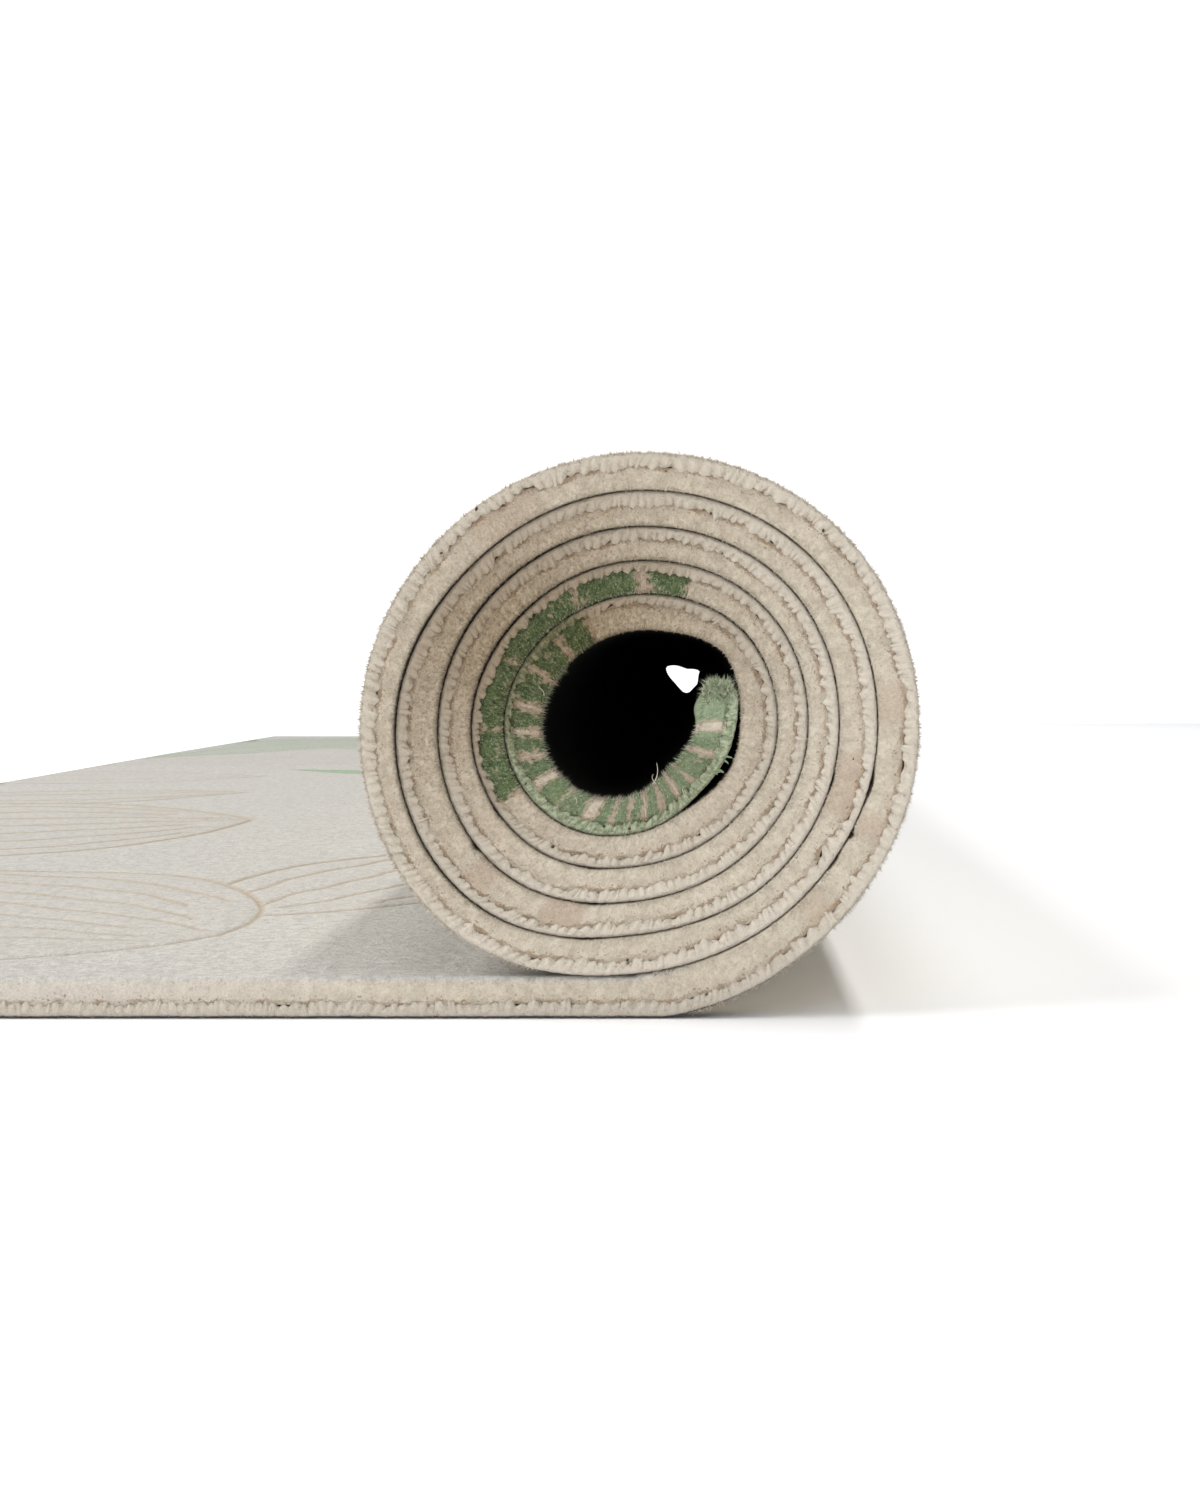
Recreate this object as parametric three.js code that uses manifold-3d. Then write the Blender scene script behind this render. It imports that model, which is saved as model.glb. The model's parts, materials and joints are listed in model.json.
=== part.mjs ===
// Hand-tufted wool rug, rolled up pile side in, with its last stretch left lying flat.
//
// Millimetres, +Z up. The roll's axis runs along Y, and the flat stretch runs from under the roll
// towards -X. The origin is on the floor face, right under the roll's centre, half way along it.
// Each piece is first laid out on the rug as it lies open, by its distance along the rug, its
// distance across it and its height above the back, and is then carried onto the rolled path.
import * as THREE from "three";
import { mergeVertices } from "three/addons/utils/BufferGeometryUtils.js";
import Module from "manifold-3d";

// The rug, laid open
const RUG_LENGTH = 2400;
const RUG_WIDTH = 1700;
const FLAT_THICKNESS = 12;
const PILE_ROUND = 3;

// The overcast yarn round its four edges
const YARN_THICKNESS = 4.5;
const YARN_DEPTH = 8;
const YARN_ROUND = 1.5;
const SEAM_GAP = 0.3;

// The roll
const CENTRE_HEIGHT = 80.35;
const LAYER_GAP = 0.8;
const STEPS_IN_A_TURN = 48;
const FLAT_SPOT_ANGLE = 3.8;
const END_ANGLE = 1926;

// How far the back of the rug is from the roll's centre, once round each turn. A turn starts
// underneath, where the flat stretch comes in, and goes up the right side. The last row is the
// loose end inside the roll.
const TURNS = [
  { bottom: 80.9, lowerRight: 78.1, right: 80.3, upperRight: 82.6, top: 81.3, upperLeft: 80.3, left: 79.6, lowerLeft: 77.1 },
  { bottom: 67.6, lowerRight: 65.7, right: 68.3, upperRight: 71.2, top: 70.4, upperLeft: 68.2, left: 69.5, lowerLeft: 66.9 },
  { bottom: 56.7, lowerRight: 55.8, right: 57.4, upperRight: 60.8, top: 60.2, upperLeft: 58.3, left: 57.5, lowerLeft: 55.1 },
  { bottom: 47.2, lowerRight: 45.8, right: 48.5, upperRight: 51.7, top: 50.5, upperLeft: 48.4, left: 48.0, lowerLeft: 44.2 },
  { bottom: 37.3, lowerRight: 36.3, right: 39.8, upperRight: 42.5, top: 40.9, upperLeft: 39.5, left: 38.7, lowerLeft: 34.1 },
  { bottom: 27.7, lowerRight: 24.1, right: 27.5, upperRight: 34.2 },
];

// The loose end stands a little away from the turn outside it, and its pile is not pressed
const LOOSE_END = { from: 1815, to: 1920, gap: 2.3, thickness: 10.2, thicknessAtEnd: 11.6 };

const wasm = await Module();
wasm.setup();

// Radius of the rug's back at an angle round the path, in degrees from underneath
const RADII = TURNS.flatMap((turn) => Object.values(turn));
const RADII_SPACING = 45;

function backRadius(angle) {
  const place = Math.min(Math.max(angle / RADII_SPACING, 0), RADII.length - 1);
  const k = Math.min(Math.floor(place), RADII.length - 2);
  const t = place - k;
  const r0 = RADII[Math.max(k - 1, 0)];
  const r1 = RADII[k];
  const r2 = RADII[k + 1];
  const r3 = RADII[Math.min(k + 2, RADII.length - 1)];
  const bend = t * (2 * r0 - 5 * r1 + 4 * r2 - r3 + t * (3 * r1 - r0 - 3 * r2 + r3));
  return r1 + 0.5 * t * (r2 - r0 + bend);
}

function smooth(from, to, x) {
  const t = Math.min(Math.max((x - from) / (to - from), 0), 1);
  return t * t * (3 - 2 * t);
}

// Thickness of the rug at an angle, measured towards the roll's centre: as much as the turn
// inside leaves room for, and the unpressed thickness where there is none
function rolledThickness(angle) {
  const inner = angle + 360;
  const apart = LOOSE_END.gap * Math.sin(Math.PI * smooth(LOOSE_END.from, LOOSE_END.to, inner));
  const pressed = backRadius(angle) - backRadius(inner) - LAYER_GAP - apart;
  const along = Math.min(Math.max((angle - END_ANGLE + 360) / 360, 0), 1);
  const free = THREE.MathUtils.lerp(LOOSE_END.thickness, LOOSE_END.thicknessAtEnd, along);
  return THREE.MathUtils.lerp(pressed, free, smooth(END_ANGLE - 356, END_ANGLE - 320, angle));
}

function rolledPoint(angle, radius) {
  const a = THREE.MathUtils.degToRad(angle);
  return new THREE.Vector2(radius * Math.sin(a), Math.max(CENTRE_HEIGHT - radius * Math.cos(a), 0));
}

// Height of the roll's underside above the flat stretch, near where it leaves the floor
function undersideHeight(x) {
  let height = Infinity;
  for (let angle = 300; angle < 360; angle += 0.5) {
    const p = rolledPoint(angle, backRadius(angle));
    const q = rolledPoint(angle + 0.5, backRadius(angle + 0.5));
    if (p.x <= x && x <= q.x) {
      height = Math.min(height, THREE.MathUtils.lerp(p.y, q.y, (x - p.x) / (q.x - p.x)));
    }
  }
  return height;
}

// Stations along the rug, from its flat end to its end in the roll. Each holds the point on the
// back, the point on top of the pile and the distance along the back.
function makeStations() {
  const stations = [];
  const angles = [0, FLAT_SPOT_ANGLE, END_ANGLE];
  for (let i = 1; i * 360 < END_ANGLE * STEPS_IN_A_TURN; i += 1) {
    angles.push((i * 360) / STEPS_IN_A_TURN);
  }
  angles.sort((a, b) => a - b);
  for (const angle of angles) {
    const radius = backRadius(angle);
    const back = rolledPoint(angle, radius);
    const top = rolledPoint(angle, radius - rolledThickness(angle));
    stations.push({ back, top });
  }
  let rolledLength = 0;
  for (let i = 1; i < stations.length; i += 1) {
    rolledLength += stations[i].back.distanceTo(stations[i - 1].back);
  }
  const flatLength = RUG_LENGTH - rolledLength;
  for (const x of [-4, -8, -12, -16, -20, -24, -30, -flatLength]) {
    const thickness = Math.min(FLAT_THICKNESS, undersideHeight(x) - LAYER_GAP);
    stations.unshift({ back: new THREE.Vector2(x, 0), top: new THREE.Vector2(x, thickness) });
  }
  let along = 0;
  stations.forEach((station, i) => {
    if (i > 0) {
      along += station.back.distanceTo(stations[i - 1].back);
    }
    station.along = along;
  });
  return stations;
}

const STATIONS = makeStations();

// Section of the rug at a distance along it
function sectionAt(along) {
  let k = STATIONS.findIndex((station) => station.along >= along) - 1;
  k = k < 0 ? (along <= 0 ? 0 : STATIONS.length - 2) : k;
  const a = STATIONS[k];
  const b = STATIONS[k + 1];
  const t = (along - a.along) / (b.along - a.along);
  const back = a.back.clone().lerp(b.back, t);
  const top = a.top.clone().lerp(b.top, t);
  const up = top.clone().sub(back);
  const thickness = up.length();
  return { back, up: up.normalize(), thickness };
}

// A point of the open rug, carried onto the rolled path
function place(along, across, height) {
  const section = sectionAt(along);
  const p = section.back.clone().addScaledVector(section.up, height);
  return [p.x, across, p.y];
}

// Distances along the rug at which a piece between two of them needs a section
function stops(from, to, extra) {
  const inside = STATIONS.map((station) => station.along).filter((s) => s > from + 0.6 && s < to - 0.6);
  const all = [from, to, ...extra, ...inside].sort((a, b) => a - b);
  return all.filter((s, i) => i === 0 || extra.includes(s) || s === to || s - all[i - 1] > 0.6);
}

// Signed volume of a mesh: positive when its faces point out
function signedVolume(geometry) {
  const corners = [new THREE.Vector3(), new THREE.Vector3(), new THREE.Vector3()];
  let sum = 0;
  for (let i = 0; i < geometry.index.count; i += 3) {
    corners.forEach((corner, k) => {
      corner.fromBufferAttribute(geometry.attributes.position, geometry.index.getX(i + k));
    });
    sum += corners[0].dot(corners[1].cross(corners[2]));
  }
  return sum / 6;
}

// Joins rings of equal length into one closed solid, with a flat cap at each end
function loft(rings) {
  const size = rings[0].length;
  const faces = [];
  for (let i = 0; i < rings.length - 1; i += 1) {
    for (let j = 0; j < size; j += 1) {
      const a = i * size + j;
      const b = i * size + ((j + 1) % size);
      faces.push([a, b, b + size], [a, b + size, a + size]);
    }
  }
  const last = (rings.length - 1) * size;
  for (let j = 1; j < size - 1; j += 1) {
    faces.push([0, j + 1, j], [last, last + j, last + j + 1]);
  }
  const geometry = new THREE.BufferGeometry();
  geometry.setAttribute("position", new THREE.Float32BufferAttribute(rings.flat(2), 3));
  geometry.setIndex(faces.flat());
  if (signedVolume(geometry) < 0) {
    geometry.setIndex(faces.map((face) => face.reverse()).flat());
  }
  return geometry;
}

function toManifold(geometry) {
  const welded = mergeVertices(geometry, 1e-4);
  const vertProperties = new Float32Array(welded.attributes.position.array);
  const triVerts = new Uint32Array(welded.index.array);
  return new wasm.Manifold(new wasm.Mesh({ numProp: 3, vertProperties, triVerts }));
}

function toGeometry(manifold) {
  const mesh = manifold.getMesh();
  const geometry = new THREE.BufferGeometry();
  geometry.setAttribute("position", new THREE.BufferAttribute(mesh.vertProperties, 3));
  geometry.setIndex(new THREE.BufferAttribute(mesh.triVerts, 1));
  return geometry;
}

// The rug: the pile reaches the very edge, and its back is stepped in all round for the yarn
function makeSheet() {
  const half = RUG_WIDTH / 2;
  const step = YARN_THICKNESS + SEAM_GAP;
  const inset = YARN_DEPTH + SEAM_GAP;
  const ends = [0, 0.3 * PILE_ROUND, PILE_ROUND];
  const pileRings = stops(0, RUG_LENGTH, [ends[1], ends[2], RUG_LENGTH - ends[2], RUG_LENGTH - ends[1]]).map((along) => {
    const fromEnd = Math.min(along, RUG_LENGTH - along);
    const lost = PILE_ROUND - Math.sqrt(PILE_ROUND ** 2 - Math.max(PILE_ROUND - fromEnd, 0) ** 2);
    const top = sectionAt(along).thickness - lost;
    const side = [
      [half - 0.6, step],
      [half, step + 1.2],
      [half, top - PILE_ROUND],
      [half - 0.3 * PILE_ROUND, top - 0.3 * PILE_ROUND],
      [half - PILE_ROUND, top],
    ];
    const mirrored = side.map(([across, height]) => [-across, height]).reverse();
    return [...side, ...mirrored].map(([across, height]) => place(along, across, height));
  });
  const backRings = stops(inset, RUG_LENGTH - inset, []).map((along) => {
    const reach = half - inset;
    const corners = [[reach, 0], [reach, step + 2], [-reach, step + 2], [-reach, 0]];
    return corners.map(([across, height]) => place(along, across, height));
  });
  return toGeometry(toManifold(loft(pileRings)).add(toManifold(loft(backRings))));
}

// Section of the yarn edging: how far in from the edge, and how high above the back
const YARN_SECTION = [
  [YARN_DEPTH, 0],
  [YARN_ROUND, 0],
  [0, YARN_ROUND],
  [0, YARN_THICKNESS - YARN_ROUND],
  [YARN_ROUND, YARN_THICKNESS],
  [YARN_DEPTH, YARN_THICKNESS],
];

function makeSideEdging(side) {
  const rings = stops(0, RUG_LENGTH, []).map((along) =>
    YARN_SECTION.map(([inward, height]) => place(along, side * (RUG_WIDTH / 2 - inward), height)),
  );
  return loft(rings);
}

// The edging of an end also bends wherever the rug bends under it, so that it keeps its seam gap
function makeEndEdging(alongAt) {
  const reach = RUG_WIDTH / 2 - YARN_DEPTH - SEAM_GAP;
  const bends = STATIONS.map((station) => Math.abs(station.along - alongAt(0)))
    .filter((inward) => inward > YARN_ROUND + 0.6 && inward < YARN_DEPTH - 0.6)
    .sort((a, b) => a - b);
  const below = bends.map((inward) => [inward, 0]).reverse();
  const above = bends.map((inward) => [inward, YARN_THICKNESS]);
  const section = [YARN_SECTION[0], ...below, ...YARN_SECTION.slice(1, 5), ...above, YARN_SECTION[5]];
  return loft(
    [-reach, reach].map((across) =>
      section.map(([inward, height]) => place(alongAt(inward), across, height)),
    ),
  );
}

const pile = new THREE.MeshStandardMaterial({ color: 0xd2cbbd, roughness: 0.96, metalness: 0 });
const yarn = new THREE.MeshStandardMaterial({ color: 0xcdc4b3, roughness: 0.9, metalness: 0 });

const PIECES = [
  { name: "rug_sheet", geometry: makeSheet(), material: pile },
  { name: "near_edging", geometry: makeSideEdging(-1), material: yarn },
  { name: "far_edging", geometry: makeSideEdging(1), material: yarn },
  { name: "outer_end_edging", geometry: makeEndEdging((inward) => inward), material: yarn },
  { name: "inner_end_edging", geometry: makeEndEdging((inward) => RUG_LENGTH - inward), material: yarn },
];

const rolledRug = new THREE.Group();
for (const { name, geometry, material } of PIECES) {
  geometry.computeVertexNormals();
  const mesh = new THREE.Mesh(geometry, material);
  mesh.name = name;
  rolledRug.add(mesh);
}

export default rolledRug;
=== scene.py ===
import json

import bpy
import numpy as np
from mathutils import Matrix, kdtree
from mathutils.geometry import delaunay_2d_cdt

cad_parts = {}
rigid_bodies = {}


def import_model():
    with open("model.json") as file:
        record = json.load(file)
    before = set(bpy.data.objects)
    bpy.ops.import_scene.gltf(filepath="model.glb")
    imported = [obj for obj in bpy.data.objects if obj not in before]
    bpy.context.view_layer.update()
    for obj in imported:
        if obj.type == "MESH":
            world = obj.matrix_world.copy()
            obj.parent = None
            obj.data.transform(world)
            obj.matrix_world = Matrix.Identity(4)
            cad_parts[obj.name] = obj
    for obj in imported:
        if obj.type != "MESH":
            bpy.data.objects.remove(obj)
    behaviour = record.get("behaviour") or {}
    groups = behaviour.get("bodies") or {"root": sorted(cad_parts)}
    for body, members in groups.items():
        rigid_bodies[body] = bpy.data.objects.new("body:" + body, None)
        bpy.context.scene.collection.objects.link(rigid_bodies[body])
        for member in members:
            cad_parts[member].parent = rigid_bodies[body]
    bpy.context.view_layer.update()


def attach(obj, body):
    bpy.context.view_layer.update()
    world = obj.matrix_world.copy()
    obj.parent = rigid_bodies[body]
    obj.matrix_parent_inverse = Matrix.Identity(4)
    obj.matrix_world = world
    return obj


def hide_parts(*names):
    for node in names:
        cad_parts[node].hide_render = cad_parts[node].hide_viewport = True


for leftover in list(bpy.data.objects):
    bpy.data.objects.remove(leftover)
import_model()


# ------------------------------------------------
# The rolled path. The rug lies open for its last half metre, then rolls up pile side in, in five
# slack turns round an open core, with a loose end inside. Lengths are in millimetres until carry()
# takes them into the frame, and angles are in degrees round the path, from where it leaves the floor.
MM = 0.001
TURN_COLUMNS = ("bottom", "lower right", "right", "upper right", "top", "upper left", "left", "lower left")
TURNS = (
    (80.9, 78.1, 80.3, 82.6, 81.3, 80.3, 79.6, 77.1),
    (67.6, 65.7, 68.3, 71.2, 70.4, 68.2, 69.5, 66.9),
    (56.7, 55.8, 57.4, 60.8, 60.2, 58.3, 57.5, 55.1),
    (47.2, 45.8, 48.5, 51.7, 50.5, 48.4, 48.0, 44.2),
    (37.3, 36.3, 39.8, 42.5, 40.9, 39.5, 38.7, 34.1),
    (27.7, 24.1, 27.5, 34.2),
)
BACK_RADII = np.array([radius for turn in TURNS for radius in turn])
ROLL_CENTRE_HEIGHT = 80.35
LOOSE_END_ANGLE = 1926.0
LOOSE_END_FROM, LOOSE_END_SLACK = 1815, 2.3
LOOSE_END_THICKNESS = (10.2, 11.6)
TURN_GAP = 0.12
RUG_LENGTH = 2400.0
RUG_WIDTH = 1700.0
HALF_WIDTH = RUG_WIDTH / 2
OPEN_THICKNESS = 12.0


def smooth(low, high, value):
    t = np.clip((value - low) / (high - low), 0, 1)
    return t * t * (3 - 2 * t)


def hump(distance, width):
    return np.exp(-((distance / width) ** 2))


def look_up(table, angle):
    return np.interp(angle, *np.transpose(table))


def unit(vectors):
    return vectors / np.maximum(np.linalg.norm(vectors, axis=-1, keepdims=True), 1e-9)


def walked(line):
    """Distance along a line of points, at each of them."""
    return np.append(0, np.cumsum(np.linalg.norm(np.diff(line, axis=0), axis=1)))


def points_at(places, marks, line):
    """Points of a line at these places, where its own points stand at the marks."""
    return np.stack([np.interp(places, marks, line[:, i]) for i in range(2)], -1)


def back_radius(angle):
    """How far the cloth's back is from the roll's centre, at an angle round the path."""
    spot = np.clip(angle / (360 / len(TURN_COLUMNS)), 0, BACK_RADII.size - 1)
    k = np.minimum(spot.astype(int), BACK_RADII.size - 2)
    t = spot - k
    r0, r1 = BACK_RADII[np.maximum(k - 1, 0)], BACK_RADII[k]
    r2, r3 = BACK_RADII[k + 1], BACK_RADII[np.minimum(k + 2, BACK_RADII.size - 1)]
    bend = t * (2 * r0 - 5 * r1 + 4 * r2 - r3 + t * (3 * r1 - r0 - 3 * r2 + r3))
    return r1 + 0.5 * t * (r2 - r0 + bend)


# Short places where a turn stands off the one inside it
OPENINGS = (
    # angle, half length in degrees, width
    (57.5, 2.6, 0.5), (65.3, 1.1, 1.1), (78.0, 4.0, 0.8), (252, 24, 0.4), (305, 18, 0.3),
    (345, 4.0, 0.3), (437, 3.0, 0.35), (590, 26, 0.3), (664, 1.4, 0.8), (705, 5.0, 0.35),
    (955, 30, 0.3), (1018, 3.0, 0.4), (1060, 5.0, 0.3), (1215, 10, 0.25),
)


def rolled_thickness(angle):
    """Thickness towards the roll's centre: the room that the next turn leaves, then unpressed."""
    inner = angle + 360
    slack = LOOSE_END_SLACK * np.sin(np.pi * smooth(LOOSE_END_FROM, LOOSE_END_ANGLE - 6, inner))
    for place, half_length, width in OPENINGS:
        slack = slack + width * hump(angle - place, half_length)
    pressed = back_radius(angle) - back_radius(inner) - TURN_GAP - slack
    unpressed = np.interp(angle, [LOOSE_END_ANGLE - 360, LOOSE_END_ANGLE], LOOSE_END_THICKNESS)
    free = smooth(LOOSE_END_ANGLE - 356, LOOSE_END_ANGLE - 320, angle)
    return pressed * (1 - free) + unpressed * free


def on_ray(angle, radius):
    a = np.radians(angle)
    return np.stack([radius * np.sin(a), np.maximum(ROLL_CENTRE_HEIGHT - radius * np.cos(a), 0)], -1)


ANGLE_STEP = 0.25
roll_angles = np.arange(0, LOOSE_END_ANGLE + 0.1, ANGLE_STEP)
roll_back = on_ray(roll_angles, back_radius(roll_angles))
roll_top = on_ray(roll_angles, back_radius(roll_angles) - rolled_thickness(roll_angles))
OPEN_LENGTH = RUG_LENGTH - walked(roll_back)[-1]

# Beside the roll, its underside presses the open stretch down
WEDGE = 60
open_x = np.concatenate([[-OPEN_LENGTH], np.arange(-WEDGE, 0, 1.0)])
overhang = np.arange(300, 352, ANGLE_STEP)
underside = on_ray(overhang, back_radius(overhang))
room = np.interp(open_x, underside[:, 0], underside[:, 1], left=99) - TURN_GAP
open_top = np.stack([open_x, np.minimum(OPEN_THICKNESS, room)], -1)
path_back = np.concatenate([np.stack([open_x, 0 * open_x], -1), roll_back])
path_top = np.concatenate([open_top, roll_top])
path_angle = np.concatenate([0 * open_x, roll_angles])
path_along = walked(path_back)


def pile_up(along):
    """The path's back, and the way from there to the top of the pile."""
    back = points_at(along, path_along, path_back)
    return back, points_at(along, path_along, path_top) - back


def thickness_at(along):
    return np.linalg.norm(pile_up(along)[1], axis=-1)


def angle_at(along):
    return np.interp(along, path_along, path_angle)


# The turns aren't wound quite in line: each sits a little further back at the near end of the roll
TURN_RECESS = (
    # angle, distance
    (0, 0), (360, 0.2), (500, 0.8), (660, 1.2), (860, 1.7), (1020, 2.3), (1220, 2.9), (1380, 3.4),
    (1700, 4.0), (1926, 3.6),
)

# The end inside the roll is rounded over its last few millimetres, and its pile reaches further
# than its canvas
NOSE, NOSE_CENTRE, NOSE_LEAST = 7.0, 0.46, (0.3, 0.35)
END_SLANT, SLANT_REACH = 5.0, 26

# The end that lies open waves a little
END_RIPPLE_REACH = 90

# Painted shade: how much darker the wool is painted at the upper left of the turns, where the outer turns
# shade the inner ones, and near the core
UPPER_LEFT_SHADE = (
    # angle, share of painted shade at the upper left
    (0, 0.1), (400, 0.12), (560, 0.45), (900, 0.55), (1200, 0.5), (1260, 0.4), (1640, 0.3), (1740, 0),
)
NEAR_CORE_SHADE = (
    # angle, share of painted shade all round
    (1080, 0), (1170, 0.11), (1430, 0.1), (1560, 0.23), (1630, 0.35), (1700, 0.34), (1745, 0.2),
    (1780, 0.12), (1830, 0.28), (1870, 0.22), (1895, 0),
)
UPPER_LEFT = 236
SIDE_LOSS = 0.13


def painted_shade(angle):
    """How much of its brightness the wool keeps under the painted shade, at an angle round the path."""
    place = angle % 360
    near_it = hump(place - UPPER_LEFT, np.where(place < UPPER_LEFT, 62, 50))
    lost = look_up(UPPER_LEFT_SHADE, angle) * near_it
    sides = SIDE_LOSS * smooth(80, 190, place) * (1 - smooth(295, 345, place))
    return 1 - lost - sides * (1 - smooth(1640, 1740, angle)) - look_up(NEAR_CORE_SHADE, angle)


def carry(along, across, height):
    """Points of the open rug, in millimetres, carried onto the rolled path, in metres."""
    along, across, height = np.broadcast_arrays(along, across, height)
    blunt = np.clip((along - RUG_LENGTH + NOSE) / NOSE, 0, 1)
    level = np.clip(height / LOOSE_END_THICKNESS[1], 0, 0.8)
    slant = END_SLANT * smooth(RUG_LENGTH - SLANT_REACH, RUG_LENGTH, along) * (0.7 - level)
    back, up = pile_up(along - slant)
    middle = NOSE_CENTRE * np.linalg.norm(up, axis=-1)
    least = np.where(height < middle, *NOSE_LEAST)
    height = middle + (height - middle) * (least + (1 - least) * np.sqrt(1 - blunt**2))
    spot = back + unit(up) * height[..., None]
    ripple = 1.2 + 2.6 * np.sin(across / 93 + 0.7) + 1.6 * np.sin(across / 41)
    spot[..., 0] += ripple * (1 - smooth(0, END_RIPPLE_REACH, along))
    across = across + look_up(TURN_RECESS, angle_at(along)) * (HALF_WIDTH - across) / RUG_WIDTH
    return np.stack([spot[..., 0], across, spot[..., 1]], -1) * MM


def lumps(points, size, seed):
    """Smooth random lumps between -1 and 1, about as wide as size."""
    p = np.asarray(points, float) / size
    cell = np.floor(p).astype(np.int64)
    f = p - cell
    f = f * f * (3 - 2 * f)
    total = np.zeros(p.shape[:-1])
    for corner in np.ndindex(2, 2, 2):
        c = cell + np.array(corner)
        key = (c[..., 0] * 73856093) ^ (c[..., 1] * 19349663) ^ (c[..., 2] * 83492791) ^ (seed * 2654435)
        key = ((key ^ (key >> 13)) * 1274126177) & 0x7FFFFFFF
        weight = np.prod(np.where(np.array(corner) == 1, f, 1 - f), axis=-1)
        total += weight * (key % 65536 / 32767.5 - 1)
    return total


# ------------------------------------------------
# The rug: one hand-tufted wool cloth, 1.70 m by 2.40 m. Cut pile stands on a backing of cotton
# canvas, and large petals with fans of veins are carved into the pile with shears.

# How far in the yarn reaches, and how high above the floor the back is, inside that and over it
EDGE_INSET = 8.3
BACK_HEIGHT, YARN_RECESS = 0.2, 4.9

# The round of the pile's edge, the least pile above the yarn, and how it fluffs up at the end
PILE_ROUND, PILE_LEAST, LOOSE_END_FLUFF = 3.0, 4.5, 2.6
STATION_STEP = 1.02

# How thick the overcast yarn is along the path; the pile fills the rest of the edge
YARN_BAND = (
    # angle, thickness
    (0, 4.8), (60, 4.9), (200, 5.0), (400, 4.6), (720, 4.2), (1080, 3.9), (1236, 3.9),
    (1250, 3.0), (1372, 3.0), (1390, 3.8), (1615, 3.6), (1650, 2.5), (1700, 2.7), (1745, 3.8),
    (1926, 3.8),
)

# Tufts of another colour that the edge cuts through, by the angles where they start and stop
EDGE_TUFTS = {
    # from, to, fullness
    "blush": (
        (42, 50, 0.8), (65, 72, 0.8), (92, 103, 0.7), (202, 220, 0.7), (428, 446, 1.0),
        (667, 676, 0.8), (690, 703, 1.0), (985, 996, 0.4), (1015, 1026, 0.4),
    ),
    "leaf": (
        (1243, 1256, 1), (1261, 1283, 1), (1285.5, 1317.5, 1), (1320, 1346, 1), (1348.5, 1374, 1),
        (1645, 1658, 1), (1663, 1675, 1), (1680, 1692, 1), (1698, 1705, 1), (1711, 1718, 1),
        (1723, 1731, 1), (1738, 1747, 1), (1752, 1763, 1), (1773, 1780, 1), (1785, 1791, 1),
        (1795, 1802, 1), (1808, 1817, 1), (1821, 1831, 1), (1838, 1848, 1), (1852, 1874, 1),
        (1880, 1893, 1), (1903, 1940, 1),
    ),
}


def tuft_mask(along, tone, soft=2.6):
    angle = angle_at(along)
    mask = np.zeros(np.shape(angle))
    for low, high, fullness in EDGE_TUFTS[tone]:
        tuft = smooth(low - soft, low + soft, angle) * (1 - smooth(high - soft, high + soft, angle))
        mask = np.maximum(mask, fullness * tuft)
    return mask


def yarn_band(along):
    """Thickness of the yarn edging, less where full tufts push it back."""
    band = look_up(YARN_BAND, angle_at(along))
    line = np.stack([along, 0 * along, 0 * along], -1)
    uneven = 0.4 * lumps(line, 9.0, 41) + 0.45 * lumps(line, 3.1, 42)
    return band + uneven - 1.0 * tuft_mask(along, "blush")


end_stations = np.append([0, 0.35, 0.9, 1.8, PILE_ROUND], np.linspace(PILE_ROUND + 1, EDGE_INSET - 0.1, 6))
middle_stations = np.linspace(EDGE_INSET, RUG_LENGTH - EDGE_INSET, int(RUG_LENGTH / STATION_STEP))
stations = np.concatenate([end_stations, middle_stations, RUG_LENGTH - end_stations[::-1]])
end_distance = np.minimum(stations, RUG_LENGTH - stations)
end_lost = PILE_ROUND - np.sqrt(PILE_ROUND**2 - np.maximum(PILE_ROUND - end_distance, 0) ** 2)
tops = thickness_at(stations) - end_lost + LOOSE_END_FLUFF * hump(RUG_LENGTH - 5 - stations, 9)
backs = np.where(end_distance < EDGE_INSET - 0.05, YARN_RECESS, BACK_HEIGHT)
lows = np.minimum(yarn_band(stations), tops - PILE_LEAST)
station_angles = angle_at(stations)

# Rails along the rug: how far in from the long edge, and how high
near_rails = [
    (EDGE_INSET, backs),
    (EDGE_INSET, np.maximum(backs + 0.2, lows - 0.8)),
    (0.8, lows - 0.8), (0.5, lows - 0.4), (0.28, lows + 0.1), (0.1, lows + 0.8),
]
SIDE_TOP = 2.2
for share in (0.2, 0.4, 0.6, 0.8):
    near_rails.append((0.0, (lows + 0.9) * (1 - share) + (tops - SIDE_TOP) * share))

# Where the turns press on it, the pile's upper edge is less round
squeeze = 1 - 0.72 * smooth(-1, 25, station_angles) * (1 - smooth(1900, 1920, station_angles))
near_rails += [
    (0.1, tops - SIDE_TOP * squeeze), (0.4 * squeeze, tops - 1.2 * squeeze),
    (1.0 * squeeze, tops - 0.5 * squeeze), (1.9 * squeeze, tops - 0.12 * squeeze), (PILE_ROUND, tops),
]
far_rails = [near_rails[i] for i in (0, 1, 2, 4, 7, 10, 12, 14)]

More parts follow.
